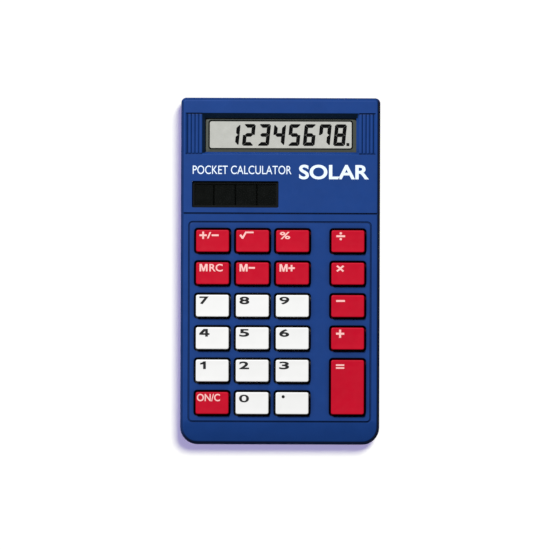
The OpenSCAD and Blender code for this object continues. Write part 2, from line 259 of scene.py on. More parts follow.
CASE = plastic("case_plastic", linear(22, 58, 122), 0.5, 0.012, 0.05, (2.4, 0.08, 0.45),
    specular=0.12)
CASE_SHADED = plastic("case_plastic_shaded", linear(18, 36, 58), 0.6, 0.012, 0.05, (2.4, 0.03, 0.5),
    specular=0.05)
RED = plastic("red_key_plastic", linear(186, 6, 37), 0.45, 0.006, 0.04, (1.6, 0.05), specular=0.15)
WHITE = plastic("white_key_plastic", linear(230, 230, 229), 0.45, 0.006, 0.012, (1.6, 0.02),
    specular=0.25)
INK_BLACK = printed("black_legend_ink", linear(22, 22, 24))
INK_PALE = printed("pale_legend_ink", linear(243, 186, 182))
INK_WHITE = printed("white_face_ink", linear(225, 238, 250))
BORDER_INK = printed("lens_border_ink", linear(80, 84, 77), 0.6, 0.1)
# Painted shade: dark ring at the inner edge of the lens border, where its inner wall and shadow lie.
LENS_SHADE_PAINT = printed("lens_edge_shade_paint", linear(12, 15, 12), 0.6, 0.05)
# Painted shade: dark rim round the solar window, where its edges lie in shade.
WINDOW_EDGE_SHADE = printed("window_edge_shade_paint", linear(9, 11, 12), 0.6, 0.1)
LENS = see_through("lens_plastic", linear(30, 34, 31), 0.03)
WINDOW = see_through("window_plastic", linear(30, 34, 31), 0.05)
GLASS = see_through("display_glass", linear(120, 130, 122), 0.05)
SEGMENT = printed("segment_dark", linear(3, 3, 4), 0.7, 0.05)
BLACK_PLASTIC = plastic("black_plastic", linear(24, 24, 26), 0.5, 0.008)
RUBBER = plastic("black_rubber", linear(26, 26, 27), 0.75, 0.012)
SILICONE = plastic("mat_silicone", linear(186, 186, 180), 0.55, 0.006, Subsurface_Weight=0.2,
    Subsurface_Scale=0.002)
CELL = surface("cell_silicon", linear(9, 11, 10), 0.2, (3.0, 0.25), (2.0, 0.14, 0.26), (0.5, 0.002),
    specular=0.2)
CELL_LINE = printed("cell_line", linear(0, 0, 0), 0.7, 0.0)
BACKING = surface("reflector_film", linear(192, 195, 188), 0.45, (1.2, 0.02), (2.0, 0.4, 0.5), (0.12, 0.003))
FILM = surface("polarizer_film", linear(189, 190, 183), 0.5, (1.4, 0.015), (2.0, 0.45, 0.55), (0.14, 0.003),
    specular=0.2)
STEEL = surface("screw_steel", linear(190, 190, 194), 0.32, (0.8, 0.12), (0.5, 0.22, 0.42), (0.2, 0.006),
    Metallic=1.0)
LAMINATE = surface("board_laminate", linear(150, 100, 48), 0.4, (1.6, 0.22, (1, 0.2, 1)),
    (2.0, 0.32, 0.46), (0.3, 0.01), Coat_Weight=0.4, Coat_Roughness=0.15)
EPOXY = plastic("black_epoxy", linear(14, 14, 15), 0.2, 0.01)
SLEEVE = plastic("capacitor_sleeve", linear(38, 44, 98), 0.3, 0.006)
CERAMIC = plastic("capacitor_ceramic", linear(188, 160, 120), 0.6, 0.01)
DIODE = plastic("diode_glass", linear(205, 110, 50), 0.12, 0.003)
RED_WIRE = plastic("red_insulation", linear(190, 28, 28), 0.4, 0.008)
BLACK_WIRE = plastic("black_insulation", linear(20, 20, 20), 0.4, 0.008)
CARBON = plastic("carbon_print", linear(30, 30, 32), 0.55, 0.01)


# ---------- mesh building ----------


def inside(x, y, loop):
    """True if a point is inside a closed loop of points."""
    hit = False
    x1, y1 = loop[-1]
    for x2, y2 in loop:
        if (y1 > y) != (y2 > y) and x < (x2 - x1) * (y - y1) / (y2 - y1) + x1:
            hit = not hit
        x1, y1 = x2, y2
    return hit


class Skin:
    """A surface made of rings of points, the strips between them and the flat areas among them."""

    def __init__(self):
        self.points = []
        self.lookup = {}
        self.faces = []

    def vert(self, x, y, z):
        key = (round(x, 4), round(y, 4), round(z, 4))
        if key not in self.lookup:
            self.lookup[key] = len(self.points)
            self.points.append(key)
        return self.lookup[key]

    def ring(self, outline, height):
        """Ring over an outline of (x, y), at a height or at height(x, y)."""
        z = height if callable(height) else lambda x, y: height
        return [self.vert(x, y, z(x, y)) for x, y in outline]

    def rings(self, outline, levels):
        """Rings of outline(size), one for each size and height."""
        return [self.ring(outline(size), height) for size, height in levels]

    def face(self, corners):
        corners = list(dict.fromkeys(corners))
        if len(corners) > 2:
            self.faces.append(corners)

    def strip(self, a, b):
        """Quads between two rings of the same number of points."""
        for i in range(len(a)):
            j = (i + 1) % len(a)
            self.face([a[i], a[j], b[j], b[i]])

    def stack(self, rings):
        """Strips between each ring and the next; returns the last ring."""
        for a, b in zip(rings, rings[1:]):
            self.strip(a, b)
        return rings[-1]

    def fill(self, outer, holes=(), lines=()):
        """Triangles between the ring outer and the rings in holes, with edges along the open lines."""
        loops = [outer, *holes]
        used, edges = [], []
        for chain, closed in [(c, True) for c in loops] + [(c, False) for c in lines]:
            start = len(used)
            used += chain
            edges += [(start + i, start + i + 1) for i in range(len(chain) - 1)]
            if closed:
                edges.append((len(used) - 1, start))
        flat = [Vector(self.points[v][:2]) for v in used]
        made = delaunay_2d_cdt(flat, edges, [], 0, 1e-5, True)
        places, triangles, origins = made[0], made[2], made[3]
        outlines = [[self.points[v][:2] for v in loop] for loop in loops]
        boxes = [(min(p[0] for p in o), max(p[0] for p in o), min(p[1] for p in o), max(p[1] for p in o))
            for o in outlines]
        for triangle in triangles:
            x = sum(places[i].x for i in triangle) / 3
            y = sum(places[i].y for i in triangle) / 3
            within = [b[0] < x < b[1] and b[2] < y < b[3] and inside(x, y, o)
                for b, o in zip(boxes, outlines)]
            if within[0] and not any(within[1:]):
                self.face([used[origins[i][0]] for i in triangle])

    def mesh(self, name):
        """Mesh of the surface, in metres."""
        mesh = bpy.data.meshes.new(name)
        mesh.from_pydata([[c * MM for c in p] for p in self.points], [], self.faces)
        return mesh

    def build(self, name, material, sharp=38):
        """Object of the surface, with its normals outward and its flats kept flat."""
        mesh = self.mesh(name)
        bm = bmesh.new()
        bm.from_mesh(mesh)
        bmesh.ops.delete(bm, geom=[v for v in bm.verts if not v.link_faces], context="VERTS")
        bmesh.ops.recalc_face_normals(bm, faces=bm.faces)
        bmesh.ops.join_triangles(bm, faces=bm.faces, angle_face_threshold=math.radians(1),
            angle_shape_threshold=math.radians(60))
        for face in bm.faces:
            face.smooth = True
        bm.to_mesh(mesh)
        bm.free()
        return place(name, mesh, material, sharp)


def add(name, data):
    """New object in the scene."""
    made = bpy.data.objects.new(name, data)
    bpy.context.scene.collection.objects.link(made)
    return made


def place(name, mesh, material, sharp=38):
    """Object with a mesh, smooth but for edges sharper than an angle in degrees."""
    mesh.materials.clear()
    mesh.materials.append(material)
    mesh.set_sharp_from_angle(angle=math.radians(sharp))
    piece = add(name, mesh)
    weighted = piece.modifiers.new("flat_faces", "WEIGHTED_NORMAL")
    weighted.keep_sharp = True
    weighted.weight = 100
    return piece


def put(piece, body, slot=None, *replaced):
    """Piece rides on a body and stands for CAD nodes, which it hides. The slot argument is not used."""
    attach(piece, body)
    if replaced:
        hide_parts(*replaced)
    return piece


def rounded(cx, cy, hw, hl, r, steps=4, r_bottom=None, side_x=(), side_y=()):
    """Rectangle with round corners, anticlockwise from its right side. Its long sides get points at
    side_y, and its top and bottom at side_x."""
    low = r if r_bottom is None else r_bottom
    r, low = max(r, 0.02), max(low, 0.02)
    corners = [(1, 1, r, 0), (-1, 1, r, 90), (-1, -1, low, 180), (1, -1, low, 270)]
    between = [sorted(side_x, reverse=True), sorted(side_y, reverse=True), sorted(side_x), sorted(side_y)]
    points = []
    for (sx, sy, radius, start), side in zip(corners, between):
        for i in range(steps + 1):
            a = math.radians(start + 90 * i / steps)
            points.append((cx + sx * (hw - radius) + radius * math.cos(a),
                cy + sy * (hl - radius) + radius * math.sin(a)))
        horizontal = start in (0, 180)
        edge = points[-1]
        points += [(t, edge[1]) if horizontal else (edge[0], t) for t in side]
    return points


def quarter(steps):
    """Angles from 0 to a right angle."""
    return [math.radians(90 * i / steps) for i in range(steps + 1)]


def circle(x, y, r, steps=24):
    turn = 2 * math.pi / steps
    return [(x + r * math.cos(i * turn), y + r * math.sin(i * turn)) for i in range(steps)]


def divided(a, b, step):
    """Inner points that divide a length into equal parts no longer than step."""
    n = max(1, math.ceil(abs(b - a) / step))
    return [a + (b - a) * i / n for i in range(1, n)]


def face_height(x, y):
    """Height of the face, which falls towards the keyboard end."""
    if y >= NOSE_Y:
        return FACE_Z
    t = (NOSE_Y - y) / (NOSE_Y + HALF_L)
    return FACE_Z - NOSE_DROP * (0.6 * t + 0.4 * t * t)


def below_face(depth):
    """Height function of a surface at a depth below the face."""
    return lambda x, y: face_height(x, y) - depth


# ---------- front shell ----------

GROOVE_HALF_W = 0.3
GROOVE_FLOOR = 0.14
GROOVE_DEPTH = 0.4
EDGE_R = 0.42
EDGE_IN = 1.2
FLARE_OUT = -0.08
SIDE_Y = sorted([-53.0, -52.3, NOSE_Y]
    + [CROSS_GROOVE_Y + d for d in (-GROOVE_HALF_W, -GROOVE_FLOOR, GROOVE_FLOOR, GROOVE_HALF_W)]
    + divided(NOSE_Y, 19.2, 6) + divided(20.2, 56, 6))
SIDE_X = divided(-27, 27, 6)


def perimeter(inset):
    """Outline of the casing, drawn in by inset."""
    return rounded(0, 0, HALF_W - inset, HALF_L - inset, max(CORNER_TOP - inset, 0.35), 8,
        max(CORNER_BOTTOM - inset, 0.35), SIDE_X, SIDE_Y)


def cross_groove(y):
    return GROOVE_DEPTH if abs(y - CROSS_GROOVE_Y) < GROOVE_FLOOR + 0.01 else 0.0


def rows_between_sides(skin, ring, height, low, high, step=3.0):
    """Lines across a ring, between its left and right points whose y is between low and high."""
    lines = []
    low = max(low, min(skin.points[v][1] for v in ring) + 0.1)
    right = [v for v in ring if skin.points[v][0] > 1]
    for v in right:
        x, y, _ = skin.points[v]
        twin = [u for u in ring if abs(skin.points[u][0] + x) < 2e-3 and abs(skin.points[u][1] - y) < 2e-3]
        if low < y < high and twin:
            inner = [skin.vert(t, y, height(t, y)) for t in divided(x, -x, step)]
            lines.append([v, *inner, twin[0]])
    return lines


def soft_step(x, x0, x1, r):
    """Rises from 0 at x0 to 1 at x1 in a straight line whose two ends are rounded over r."""
    def soft(u):
        if u < -r:
            return 0.0
        return u if u > r else (u + r) ** 2 / (4 * r)
    return (soft(x - x0) - soft(x - x1)) / (x1 - x0)


def between(x, rise, fall):
    """1 between two soft steps and 0 outside them."""
    return min(soft_step(x, *rise), 1 - soft_step(x, *fall))


def step_lines(x0, x1, r):
    """Grid lines that a soft step needs."""
    return [x0 - r, x0 - r / 3, x0 + r / 3, x0 + r, (x0 + x1) / 2, x1 - r, x1 - r / 3, x1 + r / 3, x1 + r]


REED_PITCH = 1.27
REED_X = 27.95
REED_DEPTH = 0.26
REED_TOP = 0.34
LAND = 1.35
GRIP_EDGE = (BAND_HALF_W - 0.4, BAND_HALF_W + 0.12, 0.08)
BAND_ENDS = (BAND_Y0 - 0.02, BAND_Y0 + 0.1, 0.05), (BAND_Y1 - 0.1, BAND_Y1 + 0.02, 0.05)
RIB_ENDS = (BAND_Y0 + 0.25, BAND_Y0 + 0.5, 0.08), (BAND_Y1 - 0.5, BAND_Y1 - 0.25, 0.08)


def reed_depth(x):
    """Depth of the ribbed grip below the face: rounded ribs with sharp grooves between."""
    t = ((x - REED_X) / REED_PITCH) % 1.0
    u = 2 * t - 1
    return REED_TOP + REED_DEPTH * (1 - math.sqrt(max(0.0, 1 - u * u)))


def band_depth(x, y):
    """Depth of the sunken band: grips at both sides, and the sloping walls of the display recess."""
    x = abs(x)
    recess_x = 1 - soft_step(x, OPENING_HALF_W, RECESS_HALF_W, 0.08) * (1 - BAND_DEPTH / LAND)
    if x > RECESS_HALF_W - 0.02:
        recess_x = 0
    rise = soft_step(y, BAND_Y0, OPENING_Y0, 0.12)
    fall = 1 - soft_step(y, OPENING_Y1, BAND_Y1, 0.12)
    recess = LAND * min(recess_x, rise, fall)
    if x < RECESS_HALF_W - 0.02:
        return recess
    grip = min(1 - soft_step(x, *GRIP_EDGE), between(y, *BAND_ENDS))
    return grip * (BAND_DEPTH + between(y, *RIB_ENDS) * (reed_depth(x) - BAND_DEPTH))


def band_patch(skin):
    """Grid of the sunken band. Returns its rim and the edge of the display opening."""
    reed_lines = [REED_X + REED_PITCH * (i / 8) for i in range(-6, 28)]
    half = set(step_lines(*GRIP_EDGE))
    half |= {x for x in reed_lines if RECESS_HALF_W + 0.05 < x < BAND_HALF_W - 0.55}
    half |= {OPENING_HALF_W, OPENING_HALF_W + 0.08, OPENING_HALF_W + 0.5, RECESS_HALF_W - 0.1}
    half |= {RECESS_HALF_W - 0.04, RECESS_HALF_W, BAND_HALF_W + 0.22, 6.5, 13, 19.5}
    xs = sorted(half | {-x for x in half} | {0})
    ys = {y for step in (*BAND_ENDS, *RIB_ENDS) for y in step_lines(*step)}
    ys |= {*step_lines(BAND_Y0, OPENING_Y0, 0.12)[:6], *step_lines(OPENING_Y1, BAND_Y1, 0.12)[3:]}
    ys |= {OPENING_Y0, OPENING_Y1, BAND_Y0 - 0.3, BAND_Y1 + 0.3, *divided(OPENING_Y0, OPENING_Y1, 2.4)}
    ys = sorted({round(y, 3) for y in ys})
    xs = sorted({round(x, 3) for x in xs})
    grid = [[skin.vert(x, y, FACE_Z - band_depth(x, y)) for x in xs] for y in ys]
    for j in range(len(ys) - 1):
        for i in range(len(xs) - 1):
            x, y = (xs[i] + xs[i + 1]) / 2, (ys[j] + ys[j + 1]) / 2
            if abs(x) > OPENING_HALF_W or not OPENING_Y0 < y < OPENING_Y1:
                skin.face([grid[j][i], grid[j][i + 1], grid[j + 1][i + 1], grid[j + 1][i]])

    def loop(i0, i1, j0, j1):
        return ([grid[j0][i] for i in range(i0, i1)] + [grid[j][i1] for j in range(j0, j1)]
            + [grid[j1][i] for i in range(i1, i0, -1)] + [grid[j][i0] for j in range(j1, j0, -1)])

    opening = loop(xs.index(-OPENING_HALF_W), xs.index(OPENING_HALF_W),
        ys.index(OPENING_Y0), ys.index(OPENING_Y1))
    return loop(0, len(xs) - 1, 0, len(ys) - 1), opening


def key_opening(skin, node):
    """Rounded opening for one key, from the face to the roof. Returns its top and bottom rings."""
    x, y, hw, hl = key_place(node)
    lip = 0.22
    levels = [(lip * (1 - math.sin(a)), FACE_Z - lip * (1 - math.cos(a))) for a in quarter(4)]
    hw, hl = hw + CAP_GAP, hl + CAP_GAP
    rings = skin.rings(lambda grow: rounded(x, y, hw + grow, hl + grow, OPENING_R + grow, 5),
        [*levels, (0, ROOF_Z)])
    skin.stack(rings)
    return rings[0], rings[-1]


def solar_pocket(skin):
    """Pocket of the solar window. Returns its top ring and its ring in the roof."""
    cx, cy, hw, hl = spread(WINDOW_LOW, WINDOW_HIGH)
    hw, hl = hw + 0.05, hl + 0.05
    steps = [(0.14, 0), (0.06, 0.02), (0.0, 0.1), (0.0, 0.9), (-0.7, 0.9), (-0.7, WALL)]
    sides = {"side_x": divided(cx - hw + 1, cx + hw - 1, 4), "side_y": divided(cy - hl + 1, cy + hl - 1, 4)}
    rings = skin.rings(lambda grow: rounded(cx, cy, hw + grow, hl + grow, 0.4, 3, **sides),
        [(grow, FACE_Z - depth) for grow, depth in steps])
    skin.stack(rings)
    return rings[0], rings[-1]


def field_groove(skin):
    """Groove round the keyboard field. Returns its outer and inner rings."""
    cx, cy = -0.12, (FIELD_TOP + NOSE_Y) / 2
    hw, hl = FIELD_HALF_W, (FIELD_TOP - NOSE_Y) / 2 + 0.2
    steps = [(0.38, 0), (0.32, 0.02), (0.26, 0.1), (0.17, 0.34), (-0.17, 0.34), (-0.26, 0.1), (-0.32, 0.02),
        (-0.38, 0)]
    sides = {"side_x": divided(-29, 29, 5), "side_y": divided(NOSE_Y + 1.5, FIELD_TOP - 1.5, 5)}
    rings = skin.rings(lambda grow: rounded(cx, cy, hw + grow, hl + grow, 1.2 + grow, 5, **sides),
        [(grow, below_face(depth)) for grow, depth in steps])
    skin.stack(rings)
    return rings[0], rings[-1]


def post(skin, at, r, bore_r, height, end_z, bore_z):
    """Screw post that hangs from the roof, with a blind bore. Returns its ring in the roof."""
    rings = skin.rings(lambda radius: circle(*at, radius), [(r, height), (r, end_z + 0.15),
        (r - 0.15, end_z), (bore_r + 0.1, end_z), (bore_r, end_z + 0.15), (bore_r, bore_z)])
    skin.face(skin.stack(rings))
    return rings[0]


def rib(skin, cx, cy, hw, hl, base_z, end_z):
    """Straight rib with a softened end. Returns its ring at the base."""
    soft = math.copysign(0.1, base_z - end_z)
    foot = rounded(cx, cy, hw, hl, 0.15, 2)
    base = skin.ring(foot, base_z)
    skin.face(skin.stack([base, skin.ring(foot, end_z + soft),
        skin.ring(rounded(cx, cy, hw - 0.1, hl - 0.1, 0.1, 2), end_z)]))
    return base


def guide_ribs(skin):
    """Bars under the roof between the rows of keys, broken at the posts. Returns their rings in the roof."""
    clear = 2.4
    reach = FIELD_HALF_W - 0.6
    rings = []
    row_y = sorted({round(key_place(n)[1], 2) for n in KEYS if n != "key_equals"})
    for i, (y0, y1) in enumerate(zip(row_y, row_y[1:])):
        y = (y0 + y1) / 2
        crossing = any(abs(y - p[1]) < 3 for p in [CASE_SCREWS[2], *BOARD_SCREWS[2:4]])
        spans = [(-reach, AISLE_X - clear if i == 0 else reach)]
        if crossing and i:
            spans = [(-reach, AISLE_X - clear), (AISLE_X + clear, reach)]
        rings += [rib(skin, (x0 + x1) / 2, y, (x1 - x0) / 2, 0.4, ROOF_Z, WEB_TOP + 0.2) for x0, x1 in spans]
    return rings


def shade_recess(shell):
    """Darker plastic on the upper and left walls of the display recess, which lie in shade in the photo."""
    shell.data.materials.append(CASE_SHADED)
    for face in shell.data.polygons:
        x, y, z = face.center / MM
        above = OPENING_Y1 < y < BAND_Y1 and -RECESS_HALF_W < x < OPENING_HALF_W + 0.5
        beside = -RECESS_HALF_W < x < -OPENING_HALF_W and OPENING_Y0 - 0.4 < y < BAND_Y1
        if (above or beside) and FACE_Z - LAND - 0.02 < z < FACE_Z - 0.03:
            face.material_index = 1


def front_shell():
    """Front half of the casing, with its openings, band, grooves, posts and ribs."""
    skin = Skin()

    def edge_ring(a):
        inset = EDGE_IN - EDGE_R * math.sin(a)
        depth = EDGE_R * (1 - math.cos(a))
        return skin.ring(perimeter(inset),
            lambda x, y: face_height(x, y) - depth - cross_groove(y) * math.cos(a) ** 2)

    low = PARTING_Z + SHELL_GAP
    edge = [edge_ring(a) for a in quarter(6)]
    roof_height = below_face(WALL)
    roof = skin.ring(perimeter(WALL), roof_height)
    side = skin.rings(perimeter, [(FLARE_OUT, low + 0.2), (0, low + 0.06), (0.2, low), (0.75, low),
        (0.75, low + 1), (WALL, low + 1)])
    skin.stack([*edge, *side, roof])

    band_rim, opening = band_patch(skin)
    opening_below = [skin.vert(*skin.points[v][:2], ROOF_Z) for v in opening]
    skin.strip(opening, opening_below)
    solar_top, solar_below = solar_pocket(skin)
    field_outer, field_inner = field_groove(skin)
    openings = [key_opening(skin, node) for node in KEYS]

    def top_height(x, y):
        return face_height(x, y) - cross_groove(y)

    rows = rows_between_sides(skin, edge[0], top_height, -HALF_L, NOSE_Y - 0.8)
    rows += rows_between_sides(skin, edge[0], top_height, CROSS_GROOVE_Y - 0.5, CROSS_GROOVE_Y + 0.5)
    skin.fill(edge[0], [band_rim, solar_top, field_outer], rows)
    skin.fill(field_inner, [top for top, _ in openings])

    bore_z = ROOF_Z - 0.6
    posts = [post(skin, at, 2.2, 0.95, roof_height, POST_TOP + 0.1, bore_z) for at in CASE_SCREWS]
    posts += [post(skin, at, 1.7, 0.8, roof_height, MAT_LOW.z, bore_z) for at in BOARD_SCREWS]
    rows = rows_between_sides(skin, roof, roof_height, -HALF_L, NOSE_Y - 0.8)
    blocked = [box_round(skin, ring) for ring in posts]
    rows = [cut for row in rows for cut in broken(skin, row, blocked)]
    skin.fill(roof, [opening_below, solar_below, *[b for _, b in openings], *posts, *guide_ribs(skin)], rows)
    shell = skin.build("front_shell", CASE)
    shade_recess(shell)
    return put(shell, "case", "case_plastic", "front_housing")


def box_round(skin, ring, margin=0.3):
    """Low and high x, then low and high y, of a box round a ring."""
    xs = [skin.points[v][0] for v in ring]
    ys = [skin.points[v][1] for v in ring]
    return min(xs) - margin, max(xs) + margin, min(ys) - margin, max(ys) + margin


def broken(skin, line, boxes):
    """Pieces of a line of points, without the points and links that a box is in the way of."""
    pieces, current = [], []
    for v in line:
        x, y, _ = skin.points[v]
        blocked = any(b[0] < x < b[1] and b[2] < y < b[3] for b in boxes)
        crossed = current and any(b[2] < y < b[3] and min(x, skin.points[current[-1]][0]) < b[1]
            and max(x, skin.points[current[-1]][0]) > b[0] for b in boxes)
        if blocked or crossed:
            pieces.append(current)
            current = []
        if not blocked:
            current.append(v)
    pieces.append(current)
    return [p for p in pieces if len(p) > 1]


# ---------- rear shell ----------


def rear_outline(inset):
    """Outline of the rear half, drawn in by inset."""
    return rounded(0, 0, HALF_W - inset, HALF_L - inset, max(CORNER_TOP - inset, 0.3), 8,
        max(CORNER_BOTTOM - inset, 0.3))


def counterbore(skin, at):
    """Screw hole from the back, with a wide bore for the head, a narrow one and its post inside."""
    head_r, shank_r, post_r = 2.2, 1.2, 2.3
    rings = skin.rings(lambda radius: circle(*at, radius), [(head_r + 0.15, 0), (head_r, 0.15),
        (head_r, WALL), (shank_r, WALL), (shank_r, POST_TOP - 0.15), (shank_r + 0.15, POST_TOP),
        (post_r - 0.15, POST_TOP), (post_r, POST_TOP - 0.15), (post_r, FLOOR_TOP)])
    skin.stack(rings)
    return rings[0], rings[-1]


def rear_shell():
    """Rear half of the casing: a tray with a lip, screw holes, ribs and a sunken field for the label."""
    skin = Skin()
    r, drawn = 1.1, 0.3
    lip_in, lip_top = 0.85, PARTING_Z + LIP_H
    levels = [(drawn + r * (1 - math.cos(a)), r * (1 - math.sin(a))) for a in reversed(quarter(6))]
    levels += [(FLARE_OUT / 2, PARTING_Z - 0.2), (0.2, PARTING_Z), (lip_in, PARTING_Z),
        (lip_in, lip_top - 0.15), (lip_in + 0.15, lip_top), (WALL, lip_top), (WALL, FLOOR_TOP)]
    rings = skin.rings(rear_outline, levels)
    skin.stack(rings)
    bores = [counterbore(skin, at) for at in CASE_SCREWS]
    label_y, label_hw, label_hl = 18, 21, 13
    label = skin.rings(lambda grow: rounded(0, label_y, label_hw + grow, label_hl + grow, 1.5, 4),
        [(0.1, 0), (0, 0.1), (0, 0.25)])
    skin.fill(skin.stack(label))
    skin.fill(rings[0], [label[0], *[low for low, _ in bores]])
    ribs = [rib(skin, x, 0, 0.4, 50, FLOOR_TOP, FLOOR_TOP + 1) for x in (-20, 0, 20)]
    skin.fill(rings[-1], [*[high for _, high in bores], *ribs])
    return put(skin.build("rear_shell", CASE), "case", "case_plastic", "rear_housing")


# ---------- windows and keys ----------


def slab(name, material, low, high, r=0.3, bevel=0.08, steps=3):
    """Flat piece with round corners and softened edges, between two corners."""
    skin = Skin()
    cx, cy, hw, hl = spread(low, high)
    levels = [(bevel, low[2]), (bevel * 0.3, low[2] + bevel * 0.3), (0, low[2] + bevel),
        (0, high[2] - bevel), (bevel * 0.3, high[2] - bevel * 0.3), (bevel, high[2])]
    rings = skin.rings(lambda inset: rounded(cx, cy, hw - inset, hl - inset, r - inset * 0.5, steps), levels)
    skin.stack(rings)
    skin.fill(rings[0])
    skin.fill(rings[-1])
    return skin.build(name, material)


def key_cap(node):
    """Key cap with a softly dished top, a flange, a hollow underside and a plunger."""
    low, high = cad(node)
    x, y, hw, hl = key_place(node)
    top, r = high.z, 0.32
    flange_low, flange_high = 6.2, 6.9
    under_z = 8.9
    skin = Skin()

    def outline(grow, radius=CAP_R):
        return rounded(x, y, hw + grow, hl + grow, max(radius + grow, 0.12), 5)

    dish = skin.rings(lambda inner: outline(-r - inner, 0.9),
        [(inner, top - sink) for inner, sink in [(1.9, 0.05), (1.0, 0.03), (0.4, 0.008)]])
    skin.fill(dish[0])
    rings = dish + skin.rings(outline,
        [(-r * (1 - math.sin(a)) - 0.03, top - r * (1 - math.cos(a))) for a in quarter(6)])
    wide, long = FLANGE_DX / 2, FLANGE_DY / 2
    flange = skin.rings(lambda inset: rounded(x, y, hw + wide - inset, hl + long - inset, 0.9, 5),
        [(0.1, flange_high), (0.0, flange_high - 0.1), (0.0, flange_low + 0.1), (0.1, flange_low)])
    rings += skin.rings(outline, [(0, flange_high + 0.25), (0.1, flange_high + 0.05), (0.2, flange_high)])
    rings += flange
    rings += skin.rings(outline, [(-1.2, flange_low), (-1.2, under_z - 0.15), (-1.4, under_z)])
    skin.stack(rings)
    stem = skin.rings(lambda radius: circle(x, y, radius),
        [(1.7, under_z), (1.7, low.z + 0.15), (1.55, low.z)])
    skin.fill(rings[-1], [stem[0]])
    skin.fill(skin.stack(stem))
    white = node in WHITE_KEYS
    cap = skin.build(node.replace("key_", "cap_"), WHITE if white else RED, 50)
    return put(cap, node, "white_key_plastic" if white else "red_key_plastic", node)


# ---------- legends ----------


def glyph_mesh(text, weight):
    """Flat mesh of some characters at size 1, made heavier by weight. Returns its mesh and its extents."""
    curve = bpy.data.curves.new("glyph", "FONT")
    curve.body = text
    curve.offset = weight
    curve.resolution_u = 6
    piece = add("glyph", curve)
    bpy.context.view_layer.update()
    mesh = bpy.data.meshes.new_from_object(piece)
    bpy.data.objects.remove(piece)
    xs = [v.co.x for v in mesh.vertices]
    ys = [v.co.y for v in mesh.vertices]
    return mesh, (min(xs), max(xs), min(ys), max(ys))


def lettering(name, text, box, z, material, weight, raised):
    """Characters that fill a box (x0, x1, y0, y1), as a thin raised print at a height."""
    mesh, (x0, x1, y0, y1) = glyph_mesh(text, weight)
    sx, sy = (box[1] - box[0]) / (x1 - x0), (box[3] - box[2]) / (y1 - y0)
    for v in mesh.vertices:
        v.co = Vector((box[0] + (v.co.x - x0) * sx, box[2] + (v.co.y - y0) * sy, z)) * MM
    return raise_print(name, mesh, material, raised)


def raise_print(name, mesh, material, raised):
    """Gives a flat mesh a thickness, upward, and makes it an object."""
    bm = bmesh.new()
    bm.from_mesh(mesh)
    bmesh.ops.remove_doubles(bm, verts=bm.verts, dist=2e-5)
    bmesh.ops.dissolve_degenerate(bm, edges=bm.edges, dist=1e-7)
    base = list(bm.faces)
    for face in base:
        if face.normal.z > 0:
            face.normal_flip()
    made = bmesh.ops.extrude_face_region(bm, geom=base, use_keep_orig=True)
    for v in [g for g in made["geom"] if isinstance(g, bmesh.types.BMVert)]:
        v.co.z += raised * MM
    bmesh.ops.recalc_face_normals(bm, faces=bm.faces)
    bm.to_mesh(mesh)
    bm.free()
    mesh.name = name
    return place(name, mesh, material, 30)


def shapes(name, outlines, z, material, raised):
    """Thin raised print of several closed outlines of (x, y)."""
    skin = Skin()
    for outline in outlines:
        skin.fill(skin.ring(outline, z))
    return raise_print(name, skin.mesh(name), material, raised)


def bar(x0, x1, y0, y1):
    return [(x0, y0), (x1, y0), (x1, y1), (x0, y1)]


def moved(pattern, x, y):
    """Points of a pattern that runs right and down from x, y."""
    return [(x + px, y - py) for px, py in pattern]


def plus(x, y, size, stroke):
    """Outline of a plus sign whose upper left corner is at x, y."""
    c, h = size / 2, stroke / 2
    pattern = [(c - h, 0), (c + h, 0), (c + h, c - h), (size, c - h), (size, c + h), (c + h, c + h),
        (c + h, size), (c - h, size), (c - h, c + h), (0, c + h), (0, c - h), (c - h, c - h)]
    return moved(pattern, x, y)


def cross(x, y, w, h, stroke):
    """Outline of a multiplication sign whose upper left corner is at x, y."""
    s = stroke * 0.62
    cx, cy = w / 2, h / 2
    pattern = [(0, s), (s, 0), (cx, cy - s), (w - s, 0), (w, s), (cx + s, cy), (w, h - s), (w - s, h),
        (cx, cy + s), (s, h), (0, h - s), (cx - s, cy)]
    return moved(pattern, x, y)


def letter_m(x, y, w, h):
    """Outline of a heavy letter M whose upper left corner is at x, y."""
    t = 0.6
    half = [(0, 0), (t * 1.3, 0), (w / 2, h * 0.62)]
    foot = [(w / 2 + 0.26, h), (w / 2 - 0.26, h), (t, h * 0.36), (t, h), (0, h)]
    right = [(w - t * 1.3, 0), (w, 0), (w, h), (w - t, h), (w - t, h * 0.36)]
    return moved(half + right + foot, x, y)


SLASH = [(3.7, 2.95), (4.25, 2.95), (5.15, 0.75), (4.6, 0.75)]
TICK = [(1.15, 1.8), (1.65, 1.45), (2.2, 2.15), (3.15, 0.55), (5.95, 0.55), (5.95, 1.1), (3.5, 1.1),
    (2.45, 3.0), (1.95, 3.0), (1.4, 2.2), (1.3, 2.25)]
ONE = [(1.45, 0), (2.25, 0), (2.25, 2.6), (1.35, 2.6), (1.35, 0.95), (0.35, 1.1), (0.35, 0.55), (1.0, 0.4)]
SLOPE_OF_FOUR = [(1.45, 0), (2.0, 0), (2.0, 0.72), (1.12, 1.46), (2.0, 1.46), (2.0, 2.0), (0, 2.0), (0, 1.5)]


